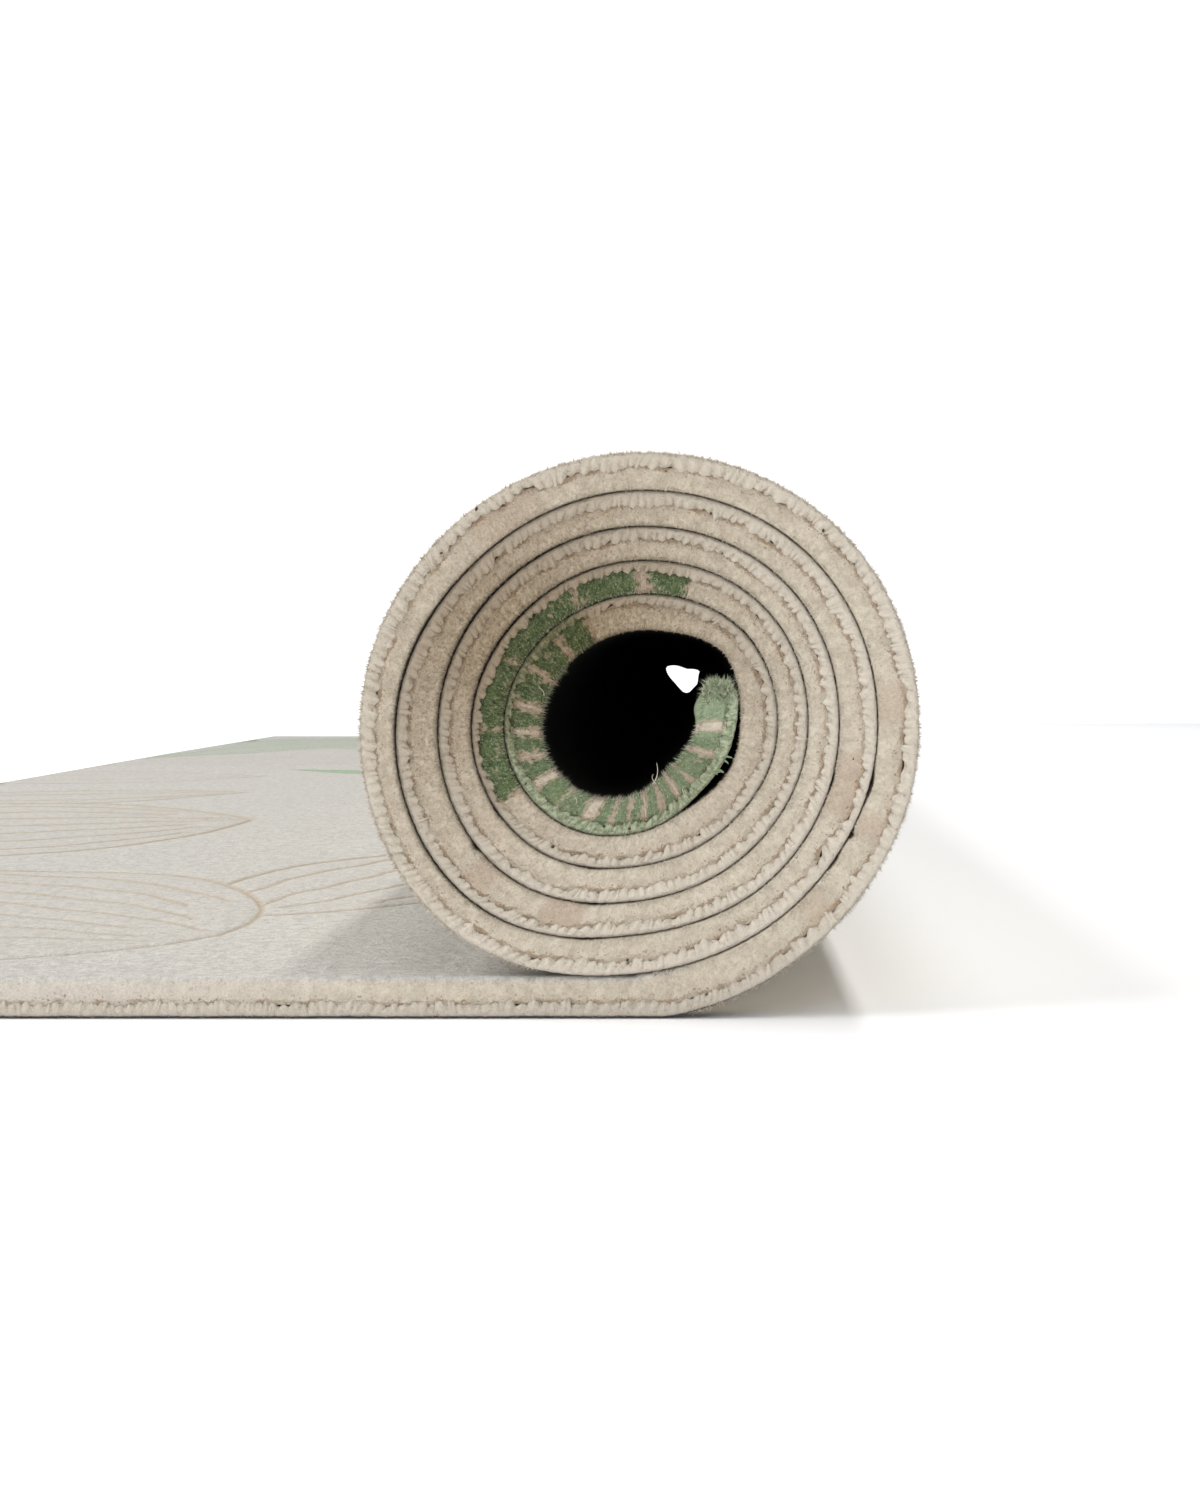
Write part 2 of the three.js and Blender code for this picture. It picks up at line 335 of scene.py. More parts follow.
# Half way along, the pile at the top of the core sags into the hollow, and the pile at its lower
# left fills it up to a flat wall
BULGE, BULGE_ANGLE, BULGE_SPREAD = 15.0, 1597, 62
WALL_ANGLE, WALL_FROM_CENTRE = 1755, 4.5
QUARTER = HALF_WIDTH / 2
wall_lean = np.radians(np.clip(station_angles - WALL_ANGLE, -89, 89))
room_to_wall = back_radius(station_angles) - thickness_at(stations) - WALL_FROM_CENTRE / np.cos(wall_lean)
sag = BULGE * hump(station_angles - BULGE_ANGLE, BULGE_SPREAD) + np.maximum(room_to_wall, 0)
rails = [(-HALF_WIDTH + inward, height) for inward, height in near_rails]
rails += [(across, tops + sag * share) for across, share in ((-QUARTER, 0.0), (0, 0.2), (QUARTER, 1.0))]
rails += [(HALF_WIDTH - inward, height) for inward, height in reversed(far_rails)]
rails += [(across, backs) for across in (QUARTER, 0, -QUARTER)]
NEAR_TOP, FAR_TOP = len(near_rails) - 1, len(near_rails) + 3
BACK_FROM = len(near_rails) + 3 + len(far_rails) - 1

grid_across = np.stack([np.broadcast_to(across, stations.size) for across, _ in rails], 1).astype(float)
grid_height = np.stack([np.broadcast_to(height, stations.size) for _, height in rails], 1)
grid_along = np.repeat(stations[:, None], len(rails), 1)
flat_spots = np.stack([grid_along, grid_across, grid_height], -1)
on_face = np.zeros(len(rails))
on_face[3:NEAR_TOP] = 1
on_face[FAR_TOP + 1:BACK_FROM - 1] = 1
swell = 0.22 * lumps(flat_spots * (1, 1, 0.6), 2.1, 3) + 0.3 * lumps(flat_spots, 7.0, 5)
swell = swell + 0.12 * lumps(flat_spots, 0.9, 8)
grid_across = grid_across + np.sign(grid_across) * on_face * (swell - 0.25)

# Carved petals and leaves on the open stretch: distances from the near edge and from the roll
PETALS = (
    # tone, base away, base in, tip away, tip in, half width, bend, veins, bluntness of the tip
    ("petal", 620, 400, 240, 520, 185, 0.0, 7, 1.3),
    ("petal", 530, 225, 142, 84, 118, 0.05, 9, 1.8),
    ("petal", 20, 470, 150, 128, 62, 0.0, 4, 1.6),
    ("petal", 560, 700, 300, 742, 60, -0.12, 2, 1.2),
    ("petal", 600, 830, 330, 925, 75, 0.10, 2, 1.3),
    ("petal", -40, 700, 190, 880, 70, 0.12, 3, 1.2),
    ("leaf", 30, 940, 330, 1010, 30, 0.10, 3, 1.0),
    ("mint", 60, 1250, 400, 1420, 70, -0.12, 5, 1.2),
    ("petal", 560, 1060, 250, 1170, 80, 0.12, 2, 1.3),
    ("mint", 505, 1180, 300, 1690, 120, 0.10, 3, 1.4),
    ("leaf", 20, 1130, 230, 1240, 62, 0.10, 3, 1.0),
)
carve_lines = []
petal_outlines = []
for number, petal in enumerate(PETALS):
    tone, base_away, base_in, tip_away, tip_in, half_width, bend, veins, blunt = petal
    base = np.array([OPEN_LENGTH - base_away, base_in - HALF_WIDTH])
    tip = np.array([OPEN_LENGTH - tip_away, tip_in - HALF_WIDTH])
    axis = tip - base
    side = unit(np.array([-axis[1], axis[0]]))
    t = np.linspace(0, 1, 90)
    spine = base + t[:, None] * axis + side * (bend * np.linalg.norm(axis) * np.sin(np.pi * t))[:, None]
    reach = half_width * np.sin(np.pi * t ** (0.7 + 0.5 * blunt)) ** (0.95 / blunt**0.8)
    reach = np.nan_to_num(reach)
    edges = []
    for way in (-1, 1):
        wander = 1 + 0.05 * np.sin(7 * t + number) + 0.03 * np.sin(17 * t + 2 * number)
        edges.append(spine + side * (way * reach * wander)[:, None])
        carve_lines.append((number, edges[-1], 1.0))
    petal_outlines.append((tone, np.concatenate([edges[0], edges[1][::-1]])))
    for vein in range(veins):
        share = (vein + 0.5) / veins * 2 - 1
        stop = 0.97 - 0.1 * abs(share) ** 2 - 0.03 * ((vein * 7 + number) % 3)
        tv = np.linspace(0.04, stop, 60)
        line = points_at(tv, t, spine)
        spread = np.interp(tv, t, reach) * share * 0.9
        wiggle = 1.1 * np.sin(tv * 31 + vein * 2.1 + number) + 0.8 * np.sin(tv * 57 + vein)
        carve_lines.append((number, line + side * (spread + wiggle)[:, None], 0.75))

# The carved field: the open stretch inside the round of the pile, up to just before the roll
open_first = int(np.searchsorted(stations, PILE_ROUND))
open_last = int(np.searchsorted(stations, OPEN_LENGTH - 32))
field_low = np.array([stations[open_first], -HALF_WIDTH + PILE_ROUND])
field_high = np.array([stations[open_last], HALF_WIDTH - PILE_ROUND])


def resample(line, step):
    marks = walked(line)
    return points_at(np.linspace(0, marks[-1], max(int(marks[-1] / step), 2)), marks, line)


def inside_outline(points, outline):
    x, y = points[:, 0:1], points[:, 1:2]
    x0, y0 = outline[:, 0], outline[:, 1]
    x1, y1 = np.roll(x0, -1), np.roll(y0, -1)
    crosses = (y0 > y) != (y1 > y)
    at = x0 + (y - y0) * (x1 - x0) / np.where(y1 == y0, 1e-9, y1 - y0)
    return np.sum(crosses & (x < at), axis=1) % 2 == 1


def covered(points, number):
    """Which points lie inside a petal that comes before this one."""
    hidden = np.zeros(len(points), bool)
    for _, outline in petal_outlines[:number]:
        hidden |= inside_outline(points, outline)
    return hidden


def inside_field(points, margin):
    return np.all((points > field_low + margin) & (points < field_high - margin), axis=-1)


# Points across each cut give the groove its shape, and a cut that runs inward is shallower
ACROSS_CUT = (-3.6, -1.7, -0.65, 0, 0.65, 1.7, 3.6)
INWARD_LOSS = 0.42
FILLER_STEP = 18
cut_samples, cut_depths = [], []
field_points, field_edges = [], []
for number, line, depth in carve_lines:
    fine = resample(line, 0.8)
    runs_inward = np.abs(unit(np.gradient(fine, axis=0))[:, 1])
    keep = inside_field(fine, 0.5) & ~covered(fine, number)
    cut_samples.append(fine[keep])
    cut_depths.append((depth * (1 - INWARD_LOSS * runs_inward**2))[keep])
    coarse = resample(line, 5.6)
    heading = unit(np.gradient(coarse, axis=0))
    normal = np.stack([-heading[:, 1], heading[:, 0]], -1)
    for offset in ACROSS_CUT:
        row = coarse + normal * offset
        keep = inside_field(row, 1.5) & ~covered(coarse, number)
        start = len(field_points)
        numbers = start + np.cumsum(keep) - 1
        field_points.extend(row[keep].tolist())
        joined = keep[1:] & keep[:-1]
        field_edges.extend(zip(numbers[:-1][joined].tolist(), numbers[1:][joined].tolist()))
cut_samples = np.concatenate(cut_samples)
cut_depths = np.concatenate(cut_depths)
rng = np.random.default_rng(11)
spread_x, spread_y = np.meshgrid(*(
    np.arange(field_low[i] + 14, field_high[i] - 6, FILLER_STEP) for i in range(2)))
filler = np.stack([spread_x.ravel(), spread_y.ravel()], -1) + rng.uniform(-4, 4, (spread_x.size, 2))
cut_tree = kdtree.KDTree(len(cut_samples))
for i, spot in enumerate(cut_samples):
    cut_tree.insert((spot[0], spot[1], 0), i)
cut_tree.balance()
filler = [spot for spot in filler.tolist() if cut_tree.find((spot[0], spot[1], 0))[2] > 6]
field_points.extend(filler)

# The rim of the carved field is made of the rails' own points, so that the cloth stays closed
columns = len(rails)
rim = [(i, NEAR_TOP) for i in range(open_first, open_last + 1)]
rim += [(open_last, j) for j in range(NEAR_TOP + 1, FAR_TOP)]
rim += [(i, FAR_TOP) for i in range(open_last, open_first - 1, -1)]
rim += [(open_first, j) for j in range(FAR_TOP - 1, NEAR_TOP, -1)]
rim_start = len(field_points)
field_points += [(grid_along[i, j], grid_across[i, j]) for i, j in rim]
field_edges += [(rim_start + k, rim_start + (k + 1) % len(rim)) for k in range(len(rim))]
vertices, _, cut_faces, cut_origin, *_ = delaunay_2d_cdt(field_points, field_edges, [], 0, 1e-4)
cut_points = np.array([tuple(v) for v in vertices])


def put(name, data):
    thing = bpy.data.objects.new(name, data)
    bpy.context.scene.collection.objects.link(thing)
    return thing


def make_mesh(name, points, faces, fields=None, materials=(), material_of=None, smooth_faces=True):
    """A mesh of points in metres. fields are its named values, one or three for each point."""
    mesh = bpy.data.meshes.new(name)
    mesh.from_pydata(np.asarray(points).tolist(), [], faces)
    for field, values in (fields or {}).items():
        values = np.asarray(values, np.float32)
        kind, slot = ("FLOAT", "value") if values.ndim == 1 else ("FLOAT_VECTOR", "vector")
        mesh.attributes.new(field, kind, "POINT").data.foreach_set(slot, values.ravel())
    for material in materials:
        mesh.materials.append(material)
    if material_of is not None:
        mesh.polygons.foreach_set("material_index", np.asarray(material_of, np.int32))
    mesh.polygons.foreach_set("use_smooth", np.full(len(mesh.polygons), smooth_faces))
    mesh.update()
    return put(name, mesh)


# Depth of the shears' cut at each point of the field, and its colours
nearest = np.array([cut_tree.find((x, y, 0))[1:] for x, y in cut_points])
cut_distance, cut_weight = nearest[:, 1], cut_depths[nearest[:, 0].astype(int)]
cut_inward = cut_points[:, 1] + HALF_WIDTH
cut_width = 1.1 + 0.0052 * np.minimum(cut_inward, 480)
cut_groove = cut_weight * (1.0 * hump(cut_distance, 0.9) + 0.5 * hump(cut_distance, 2.8))
cut_mark = np.sqrt(cut_weight) * hump(cut_distance, cut_width)
cut_mark = cut_mark * (1 - 0.45 * smooth(560, 1000, cut_inward))
in_petal, in_leaf = np.zeros((2, len(cut_points)))
for tone, outline in petal_outlines:
    mask, strength = {"petal": (in_petal, 1.0), "leaf": (in_leaf, 1.0), "mint": (in_leaf, 0.24)}[tone]
    mask[inside_outline(cut_points, outline)] = strength
rim_distance = np.min(np.concatenate([cut_points - field_low, field_high - cut_points], axis=1), axis=1)
wave_spots = np.concatenate([cut_points, np.zeros((len(cut_points), 1))], axis=1)
waves = 0.3 * lumps(wave_spots, 70, 21) + 0.14 * lumps(wave_spots, 24, 22)
cut_height = thickness_at(cut_points[:, 0]) - cut_groove + (waves - 0.3) * smooth(0, 16, rim_distance)

grid_count = grid_along.size
rim_of = {rim_start + k: i * columns + j for k, (i, j) in enumerate(rim)}
number_of = np.array([next((rim_of[o] for o in origins if o in rim_of), -1) for origins in cut_origin])
fresh = number_of < 0
number_of[fresh] = grid_count + np.arange(fresh.sum())


def ring_faces(rings, sides):
    """The quads between rings of points that follow each other, and the caps of both ends."""
    number = np.arange(rings * sides).reshape(rings, sides)
    following = np.roll(number, -1, axis=1)
    quads = np.stack([number[:-1], number[1:], following[1:], following[:-1]], -1)
    return quads, [number[0].tolist(), number[-1, ::-1].tolist()]


quads, cap_faces = ring_faces(stations.size, columns)
station_number, column_number = np.ogrid[:stations.size - 1, :columns]
cut_away = (station_number >= open_first) & (station_number < open_last)
cut_away = cut_away & (column_number >= NEAR_TOP) & (column_number < FAR_TOP)
is_back = np.broadcast_to(column_number >= BACK_FROM, cut_away.shape)
back_quads, side_quads = quads[is_back & ~cut_away], quads[~is_back & ~cut_away]
faces = side_quads.tolist() + back_quads.tolist()
field_faces = [[int(number_of[v]) for v in face] for face in cut_faces]

laid_spots = np.stack([grid_along, grid_across, grid_height], -1).reshape(-1, 3)
below = (tops[:, None] - grid_height).ravel()
above_yarn = (grid_height - lows[:, None]).ravel()
leaf, blush = (np.repeat(tuft_mask(stations, tone), columns) for tone in ("leaf", "blush"))
field_laid = np.concatenate([cut_points, cut_height[:, None]], axis=1)[fresh]
laid_spots = np.concatenate([laid_spots, field_laid])
laid_angles = angle_at(laid_spots[:, 0])
fields = {
    "laid": laid_spots * MM,
    "above_yarn": np.concatenate([above_yarn, np.full(fresh.sum(), 9.0)]),
    "rolled": smooth(150, 240, laid_angles),
    "open": 1 - smooth(0, 20, laid_angles),
    "shade": painted_shade(laid_angles),
    "pale": smooth(1690, 1790, laid_angles) + smooth(1880, 1905, laid_angles),
    "below": np.concatenate([below, cut_groove[fresh] * 0.6]),
    "cut": np.concatenate([np.zeros(grid_count), cut_mark[fresh]]),
    "leaf": np.concatenate([leaf, in_leaf[fresh]]),
    "blush": np.concatenate([blush, in_petal[fresh] * 0.3]),
}
sheet_points = carry(laid_spots[:, 0], laid_spots[:, 1], laid_spots[:, 2])
used = np.zeros(len(laid_spots), bool)
every_face = faces + field_faces + cap_faces
used[np.array([v for face in every_face for v in face])] = True
renumber = np.cumsum(used) - 1
every_face = [[int(renumber[v]) for v in face] for face in every_face]
fields = {name: values[used] for name, values in fields.items()}
material_of = [0] * len(side_quads) + [1] * len(back_quads) + [0] * (len(field_faces) + 2)


class Wire:
    """A socket of a material's nodes. Sums and products of wires add Math nodes."""

    def __init__(self, tree, socket=None):
        self.tree, self.socket = tree, socket

    def node(self, kind, settings=None, inputs=None, out=0):
        made = self.tree.nodes.new("ShaderNode" + kind)
        for name, value in (settings or {}).items():
            setattr(made, name, value)
        for name, value in (inputs or {}).items():
            if isinstance(value, Wire):
                self.tree.links.new(value.socket, made.inputs[name])
            else:
                made.inputs[name].default_value = value
        return Wire(self.tree, made.outputs[out])

    def math(self, operation, *values):
        return self.node("Math", {"operation": operation}, dict(enumerate(values)))

    def __add__(self, other):
        return self.math("ADD", self, other)

    def __sub__(self, other):
        return self.math("SUBTRACT", self, other)

    def __rsub__(self, other):
        return self.math("SUBTRACT", other, self)

    def __mul__(self, other):
        return self.math("MULTIPLY", self, other)

    __radd__, __rmul__ = __add__, __mul__

    def field(self, name, out="Fac"):
        return self.node("Attribute", {"attribute_name": name}, out=out)

    def noise(self, place, size, detail=2.0, roughness=0.5):
        """Noise from 0 to 1, with lumps of about this size in metres."""
        inputs = {"Vector": place, "Scale": 1 / size, "Detail": detail, "Roughness": roughness}
        return self.node("TexNoise", None, inputs)

    def split(self, vector, part):
        return self.node("SeparateXYZ", None, {0: vector}, out=part)

    def stretch(self, place, by):
        return self.node("VectorMath", {"operation": "MULTIPLY"}, {0: place, 1: by})

    def step(self, low, high, value):
        inputs = {"Value": value, 1: low, 2: high}
        return self.node("MapRange", {"interpolation_type": "SMOOTHSTEP"}, inputs)

    def mix(self, factor, first, second, blend="MIX"):
        settings = {"data_type": "RGBA", "blend_type": blend}
        return self.node("Mix", settings, {0: factor, 6: first, 7: second}, out=2)

    def tint(self, tone, by):
        return self.mix(1.0, tone, by, blend="MULTIPLY")

    def bump(self, height, distance, strength=1.0, normal=None):
        inputs = {"Height": height, "Distance": distance, "Strength": strength}
        if normal:
            inputs["Normal"] = normal
        return self.node("Bump", None, inputs)

    def into(self, shader, socket):
        self.tree.links.new(self.socket, shader.inputs[socket])


def new_material(name, **constants):
    """A material with a Principled shader whose constant sockets are set; returns it, wire and shader."""
    material = bpy.data.materials.new(name)
    material.use_nodes = True
    tree = material.node_tree
    shader = tree.nodes["Principled BSDF"]
    for socket, value in constants.items():
        shader.inputs[socket.replace("_", " ")].default_value = value
    return material, Wire(tree), shader


def colour(red, green, blue):
    """A colour given as it looks on a screen, from 0 to 255."""
    channel = np.array([red, green, blue]) / 255
    linear = np.where(channel <= 0.04045, channel / 12.92, ((channel + 0.055) / 1.055) ** 2.4)
    return (*linear.tolist(), 1)


WHITE = (1, 1, 1, 1)
# Colours of painted shade: brown for the turns' shade, darker brown beside the gaps between turns, near
# black inside the core
PAINTED_SHADE_BROWN = (0.28, 0.19, 0.08, 1)
GAP_SHADE_BROWN = (0.06, 0.042, 0.025, 1)
CORE_SHADE_BLACK = (0.002, 0.0015, 0.001, 1)


def pressed(wire, tone):
    """The tone with painted shade: browner and darker at the upper left of the turns and near the core."""
    return wire.tint(tone, wire.mix(wire.field("shade"), PAINTED_SHADE_BROWN, WHITE))


pile, wire, shader = new_material(
    "cut wool pile", Roughness=0.95, Sheen_Weight=0.01, Sheen_Roughness=0.6, Specular_IOR_Level=0.03)
laid = wire.field("laid", out="Vector")
across = wire.split(laid, 1)
tufts = wire.noise(laid, 0.0021, detail=3, roughness=0.62)
fibres = wire.noise(laid, 0.0006, roughness=0.7)
clumps = wire.noise(laid, 0.0042, roughness=0.6)
broad = wire.noise(laid, 0.05, detail=3)
grains = wire.noise(laid, 0.0012, roughness=0.7)
strokes = wire.noise(wire.stretch(laid, (1, 1, 0.4)), 0.0006, roughness=0.6)
leafy, opened, shaded = wire.field("leaf"), wire.field("open"), wire.field("shade")
deep, rolled = wire.field("below") + (tufts - 0.5) * 1.2, wire.field("rolled")
ragged = (clumps - 0.5) * 1.8 + (tufts - 0.5) * 1.8 + (strokes - 0.5) * 1.4
leaf_mask = wire.step(0.05, 0.7, leafy + ragged * wire.step(0.0, 0.12, leafy))
blush_mask = wire.step(0.2, 1.0, wire.field("blush") + ragged * 0.3)
mottle = wire.step(0.3, 0.7, tufts * 0.6 + clumps * 0.4)
side_tone = wire.mix(mottle, colour(170, 160, 144), colour(184, 175, 160))
far_out = wire.step(0.02, 0.2, OPEN_LENGTH * MM - wire.split(laid, 0))
side_tone = wire.mix(far_out * opened, side_tone, colour(178, 171, 162))
# Painted shade: the top of the open pile is painted darker and greyer than its side, against the stronger
# light that falls on top
painted_top_tone = wire.mix(mottle, colour(159, 156, 150), colour(179, 176, 170))
painted_top_tone = wire.mix(broad * 0.5, painted_top_tone, colour(163, 160, 154))
wool = wire.mix(opened * (1 - wire.step(0.2, 2.4, deep)), side_tone, painted_top_tone)
wool = wire.mix(blush_mask * 0.6, wool, colour(162, 144, 128))
green = wire.step(0.32, 0.68, strokes * 0.5 + tufts * 0.5)
green = wire.mix(green, colour(106, 122, 92), colour(56, 72, 48))
for share, tone in (
    (wire.step(0.4, 0.7, clumps) * 0.4, colour(98, 106, 74)),
    (wire.step(0.56, 0.72, fibres) * 0.7, colour(152, 162, 134)),
    (wire.step(0.6, 0.78, grains) * 0.4, colour(118, 102, 80)),
    (wire.field("pale") * (0.05 + clumps * 0.5), colour(150, 162, 134)),
    (opened * 0.9, colour(140, 156, 134)),
):
    green = wire.mix(share, green, tone)
near_leaf = wire.step(0.0, 0.1, leafy) * (1 - opened)
stripe = wire.mix(near_leaf * 0.6, wool, colour(150, 132, 116))
wool = wire.mix(leaf_mask, stripe, green)
# The tan mark along each carved cut is partly the deeper wool's colour, partly painted shade in the groove
cut_tone = wire.mix(leafy, colour(150, 134, 110), colour(112, 134, 104))
wool = wire.mix(wire.step(0.1, 0.9, wire.field("cut") + (grains - 0.5) * 0.7) * 0.66, wool, cut_tone)
height = wire.field("above_yarn")
# Painted shade: the pile just above the yarn is darkened brown in patches, the shade in the crease between
# pile and yarn
crease = 1 - wire.step(0.1, 1.0, height + (fibres - 0.5) * 2.0 + (tufts - 0.5) * 2.4)
crease_shade_tone = wire.mix(leaf_mask, colour(122, 98, 72), colour(66, 72, 48))
wool = wire.mix(crease * wire.step(0.36, 0.6, clumps) * 0.7, wool, crease_shade_tone)
# Painted shade: small dark pits, thickest in the crease above the yarn, fainter all over the pile
near_crease = wire.step(-0.6, 0.4, height) * (1 - wire.step(1.2, 3.4, height))
shade_pits = wire.step(0.57, 0.66, grains) * near_crease + wire.step(0.66, 0.74, grains) * 0.3
wool = wire.mix(shade_pits * 0.62, wool, wire.mix(leaf_mask, colour(104, 80, 56), colour(58, 62, 40)))
# Painted shade: the grain's dark specks grow stronger where the painted shade is deeper; then the wool
# takes the painted shade of the upper left and the core
shade_speckle = (grains - 0.5) * (1.05 - shaded) * 2.2
wool = wire.tint(wool, 0.63 + grains * 0.28 + fibres * 0.3 + clumps * 0.18 + shade_speckle)
wool = pressed(wire, wool)
# Painted shade: the rolled pile is darkened to brown near its top edge, beside the gaps between the turns,
# most at the upper left
gap_shade = (1 - wire.step(0.0, 1.5, deep)) * rolled
wool = wire.mix(gap_shade * (0.6 - shaded * 0.5), wool, GAP_SHADE_BROWN)
# Painted shade: the rolled pile more than about a centimetre in from either end is painted almost black,
# the shade inside the roll
inside = rolled * wire.step(0.002, 0.011, HALF_WIDTH * MM - wire.math("ABSOLUTE", across))
wire.mix(inside * 0.985, wool, CORE_SHADE_BLACK).into(shader, "Base Color")
wire.bump(fibres, 0.0004, 0.7, wire.bump(tufts, 0.0011, 0.75)).into(shader, "Normal")

THREAD_SPACING = 0.0016
canvas, wire, shader = new_material("cotton canvas backing", Roughness=0.9, Specular_IOR_Level=0.2)
laid = wire.field("laid", out="Vector")
warp, weft = (wire.math("SINE", wire.split(laid, part) * (2 * np.pi / THREAD_SPACING)) for part in (0, 1))
weave = warp * weft
slub = wire.noise(wire.stretch(laid, (1, 0.08, 1)), 0.0015)
stain = wire.noise(laid, 0.12, detail=4)
cloth = wire.mix(stain, colour(196, 184, 160), colour(208, 198, 178))
wire.tint(cloth, 0.86 + weave * 0.05 + slub * 0.16).into(shader, "Base Color")
wire.bump(weave * 0.5 + slub, 0.0005, 0.6).into(shader, "Normal")

rug = make_mesh("tufted_rug", sheet_points[used], every_face, fields, [pile, canvas], material_of)
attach(rug, "root")
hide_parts("rug_sheet")


# ------------------------------------------------
# The overcast edging: thick wool yarn sewn over and over round the edge of the backing, on all
# four sides. Each stitch is a fat loop of two or three plies that leans and swells under the pile.
YARN_PROFILE = (
    # inward on the floor, inward in the roll, share of the band, how deep the valleys are
    (7.6, 7.6, 0.03, 0.1), (5.2, 4.8, 0.0, 0.1), (3.2, 2.4, 0.01, 0.15), (1.9, 0.95, 0.05, 0.2),
    (0.8, 0.32, 0.16, 0.35), (0.15, 0.06, 0.36, 0.6), (0.0, 0.0, 0.6, 0.9), (0.14, 0.14, 0.82, 1.0),
    (0.45, 0.45, 0.96, 0.9), (1.2, 1.2, 0.94, 0.5), (3.0, 3.0, 0.8, 0.2), (7.8, 7.8, 0.6, 0.1),
)


def overcast(length, to_edge, band_at, rolled_at, seed, ply_width, steps):
    """The edging of one side. to_edge gives the open rug's spot for a distance along that side."""
    rng = np.random.default_rng(seed)
    plies = int(length / ply_width)
    starts = np.append(0, np.cumsum(rng.uniform(0.72, 1.32, plies)))
    starts *= length / starts[-1]
    opens = np.isin(np.arange(plies), np.append(0, np.cumsum(rng.choice([1, 2, 2, 3], plies))))
    stitch = np.cumsum(opens) - 1
    stitch_start = starts[:-1][opens]
    stitch_end = np.append(stitch_start[1:], length)
    stitches = stitch_start.size
    knuckle, proud = rng.uniform(-0.3, 0.8, stitches), rng.uniform(-0.12, 0.16, stitches)
    lean = np.convolve(rng.uniform(-1.6, 3.2, stitches), [0.25, 0.5, 0.25], "same")
    plump = np.minimum((stitch_end - stitch_start) / 3.0, 1.2)
    ply = np.append(np.repeat(np.arange(plies), len(steps)), plies - 1)
    x = np.append(np.tile(steps, plies), 1.0)
    u0 = starts[ply] + x * (starts[ply + 1] - starts[ply])
    owner = stitch[ply]
    across_stitch = np.clip((u0 - stitch_start[owner]) / (stitch_end - stitch_start)[owner], 0, 1)
    stitch_round = 0.5 + 0.5 * np.cos(2 * np.pi * across_stitch)
    ply_round = 0.5 + 0.5 * np.cos(2 * np.pi * x)
    leaning = lean[owner] * np.minimum(1, np.minimum(u0, length - u0) / 8)
    hollow = np.clip(0.75 * stitch_round + 0.3 * ply_round, 0, 1)
    rise = knuckle[owner] + rng.uniform(-0.25, 0.25, plies)[ply]
    band, rolled = band_at(u0), rolled_at(u0)
    rows, carried = [], []
    around, last = 0.0, YARN_PROFILE[0]
    for on_floor, in_roll, level, depth in YARN_PROFILE:
        around += np.hypot(on_floor - last[0], 4.2 * (level - last[2]))
        last = (on_floor, in_roll, level, depth)
        inward = on_floor + (in_roll - on_floor) * rolled
        u = np.maximum.accumulate(np.clip(u0 + leaning * (level - 0.4), 0, length))
        crown = smooth(0.5, 1.0, level)
        place = np.stack([u, 0 * u + around, 0 * u + seed], -1)
        rough = lumps(place, 0.9, seed)
        swollen = lumps(place, 2.3, seed + 7)
        sink = (0.46 * stitch_round * plump[owner] + 0.08 * ply_round) - proud[owner]
        sink = (sink + 0.16 * rough - 0.34 * swollen) * depth
        face = 1 - min(on_floor / 2.5, 1)
        height = band * level - sink * (1 - face) * (1 if level > 0.5 else -1)
        height = height + crown * (rise - 0.42 * stitch_round * plump[owner] + 0.3 * rough + 0.55 * swollen)
        rows.append(to_edge(u, np.maximum(inward + sink * face, -0.3), np.maximum(height, 0.0)))
        carried.append(np.stack([u, 0 * u + around, 0 * u, hollow * depth, 0 * u + level], -1))
    points = np.stack(rows, 1)
    quads, caps = ring_faces(*points.shape[:2])
    carried = np.stack(carried, 1).reshape(-1, 5)
    fields = {"laid": carried[:, :3] * MM, "valley": carried[:, 3], "level": carried[:, 4]}
    return points.reshape(-1, 3), quads.reshape(-1, 4).tolist() + caps, fields


yarn, wire, shader = new_material(
    "overcast wool yarn", Roughness=0.92, Sheen_Weight=0.08, Sheen_Roughness=0.6, Specular_IOR_Level=0.12)
laid = wire.field("laid", out="Vector")
fluff = wire.noise(laid, 0.0006, detail=3, roughness=0.65)
nubs = wire.noise(laid, 0.0018, roughness=0.6)
patchy = wire.noise(laid, 0.012)
strands = wire.noise(wire.stretch(laid, (1, 0.22, 1)), 0.0006, roughness=0.6)
leafy, shaded, on_floor = wire.field("leaf"), wire.field("shade"), wire.field("floor")
thread = wire.mix(patchy, colour(185, 176, 162), colour(195, 188, 176))
pale_green = wire.step(0.3, 0.7, nubs * 0.5 + strands * 0.5)
pale_green = wire.mix(pale_green, colour(104, 117, 86), colour(176, 182, 158))
pale_green = wire.mix(wire.step(0.6, 0.7, fluff) * 0.6, pale_green, colour(196, 196, 176))
thread = wire.mix(leafy, thread, pale_green)
# Painted shade: the yarn is darkened in the valleys between stitches and plies, more at the upper left of
# the turns
hollow = wire.step(0.4, 1.0, wire.field("valley") + (nubs - 0.5) * 0.9)
valley_shade_tone = wire.mix(leafy, colour(150, 130, 105), colour(104, 112, 82))
thread = wire.mix(hollow * (0.6 - shaded * 0.42), thread, valley_shade_tone)
level = wire.field("level")
upper = wire.step(0.7, 0.95, level)
